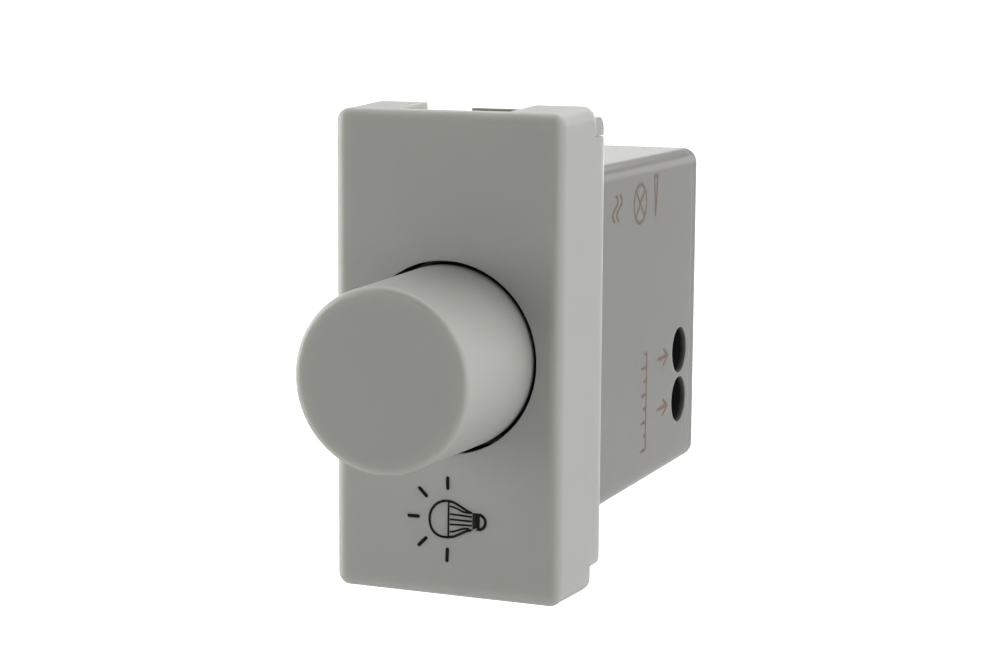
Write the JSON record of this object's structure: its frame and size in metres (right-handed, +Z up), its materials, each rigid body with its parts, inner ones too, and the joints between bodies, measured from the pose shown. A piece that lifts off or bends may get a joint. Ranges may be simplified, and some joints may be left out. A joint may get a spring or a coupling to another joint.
{
  "type": "rotary dimmer switch",
  "caption": "One-module rotary dimmer with a large plain round push knob on a narrow cover, snap-in frame and a deep rear housing with side screw access.",
  "frame": {"origin": "centre of the seat plane, where the rear edges of the cover's top and bottom walls meet the wall support frame", "axes": "+X to the right seen from the front, +Y from the front into the wall, +Z up"},
  "size_m": [0.0226, 0.0568, 0.0456],
  "materials": {
    "cover_plastic": "satin moulded plastic, light warm grey",
    "knob_plastic": "satin moulded plastic, light warm grey",
    "frame_plastic": "satin moulded plastic, pale grey",
    "body_plastic": "satin moulded plastic, mid grey",
    "black_plastic": "matte black moulded plastic",
    "board_laminate": "green printed circuit laminate",
    "brown_laminate": "brown pressed paper laminate",
    "sheet_film": "thin translucent insulating sheet",
    "capacitor_case": "glossy moulded case",
    "blue_coating": "dipped blue coating",
    "carbon_track": "printed carbon film",
    "silicone_pad": "soft thermal silicone",
    "zinc_steel": "zinc-plated steel",
    "spring_steel": "bright spring wire",
    "tinned_metal": "tinned sheet and wire",
    "brass": "plain brass",
    "aluminium": "bare aluminium sheet",
    "copper_wire": "enamelled copper wire",
    "ferrite": "dark sintered ferrite",
    "white_ceramic": "white ceramic tube"
  },
  "bodies": {
    "housing": {"front_cover": "cover_plastic", "inner_frame": "frame_plastic", "pot_bushing": "brass", "pot_lock_washer": "zinc_steel", "pot_nut": "zinc_steel", "pot_case": "zinc_steel", "pot_base": "brown_laminate", "pot_track": "carbon_track", "pot_pins": "tinned_metal", "switch_case": "black_plastic", "switch_base": "black_plastic", "switch_fixed_contacts": "brass", "return_spring": "spring_steel", "rear_housing": "body_plastic", "rear_lid": "body_plastic", "terminal_block": "black_plastic", "circuit_board": "board_laminate", "insulating_sheet": "sheet_film", "heat_sink": "aluminium", "thermal_pad": "silicone_pad", "power_transistors": "black_plastic", "choke_core": "ferrite", "choke_winding": "copper_wire", "film_capacitor": "capacitor_case", "electrolytic_capacitor": "black_plastic", "varistor": "blue_coating", "fuse": "white_ceramic", "controller_chip": "black_plastic", "bridge_rectifier": "black_plastic", "chip_resistors": "black_plastic", "contact_bar_1": "brass", "contact_bar_2": "brass"},
    "plunger": {"switch_plunger": "frame_plastic", "switch_bridge": "brass"},
    "knob": {"knob": "knob_plastic", "knob_spring_clip": "spring_steel", "shaft": "zinc_steel", "shaft_retaining_ring": "spring_steel"},
    "rotor": {"pot_rotor": "black_plastic", "pot_wiper": "brass"},
    "screw_1": {"terminal_screw_1": "zinc_steel"},
    "screw_2": {"terminal_screw_2": "zinc_steel"},
    "cage_1": {"terminal_cage_1": "zinc_steel"},
    "cage_2": {"terminal_cage_2": "zinc_steel"}
  },
  "joints": [
    {"name": "knob_push", "type": "slide", "parent": "housing", "child": "plunger", "axis": [0, 1, 0], "range_m": [0, 0.0015], "stiffness_N_per_m": 1500, "springref_m": -0.001, "deforming": ["return_spring"]},
    {"name": "knob_turn", "type": "hinge", "parent": "plunger", "child": "knob", "pos_m": [0, 0, 0], "axis": [0, 1, 0], "range_deg": [-135, 135]},
    {"name": "wiper_turn", "type": "hinge", "parent": "housing", "child": "rotor", "pos_m": [0, 0, 0], "axis": [0, 1, 0], "range_deg": [-135, 135]},
    {"name": "screw_1_turn", "type": "hinge", "parent": "housing", "child": "screw_1", "pos_m": [0.008, 0.028, -0.0038], "axis": [-1, 0, 0], "range_deg": [0, 1800]},
    {"name": "screw_2_turn", "type": "hinge", "parent": "housing", "child": "screw_2", "pos_m": [0.008, 0.028, -0.009], "axis": [-1, 0, 0], "range_deg": [0, 1800]},
    {"name": "cage_1_rise", "type": "slide", "parent": "housing", "child": "cage_1", "axis": [1, 0, 0], "range_m": [0, 0.0025]},
    {"name": "cage_2_rise", "type": "slide", "parent": "housing", "child": "cage_2", "axis": [1, 0, 0], "range_m": [0, 0.0025]}
  ],
  "couplings": [
    {"joint": "wiper_turn", "follows": "knob_turn", "ratio": 1},
    {"joint": "screw_1_turn", "follows": "cage_1_rise", "rad_per_m": 12566},
    {"joint": "screw_2_turn", "follows": "cage_2_rise", "rad_per_m": 12566}
  ]
}
